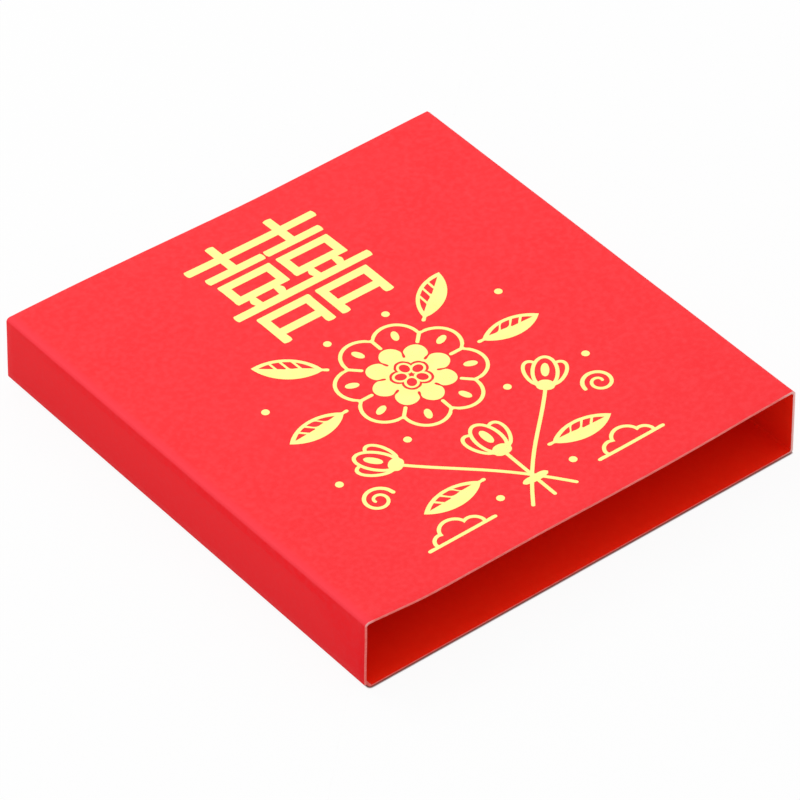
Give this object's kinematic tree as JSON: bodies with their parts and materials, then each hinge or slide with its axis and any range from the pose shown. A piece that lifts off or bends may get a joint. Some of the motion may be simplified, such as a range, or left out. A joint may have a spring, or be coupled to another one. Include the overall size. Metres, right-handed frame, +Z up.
{
  "type": "gift money sleeve",
  "caption": "Flat open-ended folded card sleeve for gift money, with gold foil double-happiness and flower art on its top; folds flat sideways.",
  "frame": {"origin": "under the middle of the sleeve, at the level of the surface that it lies on", "axes": "+X across the sleeve to the right wall, +Y along the sleeve from the near opening to the far one, +Z up from the bottom panel to the top panel"},
  "size_m": [0.1, 0.108, 0.0153],
  "materials": {
    "card": "satin",
    "foil": "satin",
    "adhesive": "gloss"
  },
  "bodies": {
    "base": {"bottom_panel": "card", "bottom_right_fold": "card", "flap_fold": "card"},
    "right_side": {"right_wall": "card"},
    "top": {"top_panel": "card", "top_right_fold": "card", "top_left_fold": "card", "happiness_left_foot": "foil", "happiness_right_foot": "foil", "happiness_middle": "foil", "happiness_crown": "foil", "bloom_outer_petals": "foil", "petal_drop_1": "foil", "petal_drop_2": "foil", "petal_drop_3": "foil", "petal_drop_4": "foil", "petal_drop_5": "foil", "petal_drop_6": "foil", "petal_drop_7": "foil", "petal_drop_8": "foil", "bloom_middle_petals": "foil", "bloom_inner_petals": "foil", "left_upper_leaf": "foil", "right_upper_leaf": "foil", "left_middle_leaf": "foil", "right_middle_leaf": "foil", "left_lower_leaf": "foil", "right_lower_leaf": "foil", "middle_bud_core": "foil", "left_bud_core": "foil", "right_bud_core": "foil", "stems_and_buds": "foil", "left_tendril": "foil", "right_tendril": "foil", "left_cloud": "foil", "right_cloud": "foil", "left_pearl_1": "foil", "right_pearl_1": "foil", "left_pearl_2": "foil", "right_pearl_2": "foil", "left_pearl_3": "foil", "right_pearl_3": "foil", "left_pearl_4": "foil", "right_pearl_4": "foil", "left_pearl_5": "foil", "right_pearl_5": "foil"},
    "left_side": {"left_wall": "card"},
    "flap": {"glue_flap": "card", "seam_adhesive": "adhesive"}
  },
  "joints": [
    {"name": "sleeve_fold", "type": "hinge", "parent": "base", "child": "right_side", "pos_m": [0.0495, 0, 0.0005], "axis": [0, 1, 0], "range_deg": [-85, 85], "stiffness_Nm_per_rad": 0.012, "deforming": ["bottom_right_fold"]},
    {"name": "top_right_crease", "type": "hinge", "parent": "right_side", "child": "top", "pos_m": [0.0495, 0, 0.01475], "axis": [0, 1, 0], "range_deg": [-85, 85], "deforming": ["top_right_fold"]},
    {"name": "top_left_crease", "type": "hinge", "parent": "top", "child": "left_side", "pos_m": [-0.04888, 0, 0.01475], "axis": [0, 1, 0], "range_deg": [-85, 85], "deforming": ["top_left_fold"]},
    {"name": "flap_crease", "type": "hinge", "parent": "base", "child": "flap", "pos_m": [-0.04888, 0, 0.0005], "axis": [0, 1, 0], "range_deg": [-85, 85], "deforming": ["flap_fold"]}
  ],
  "couplings": [
    {"joint": "top_right_crease", "follows": "sleeve_fold", "ratio": -1},
    {"joint": "top_left_crease", "follows": "sleeve_fold", "ratio": 1},
    {"joint": "flap_crease", "follows": "sleeve_fold", "ratio": 1}
  ]
}
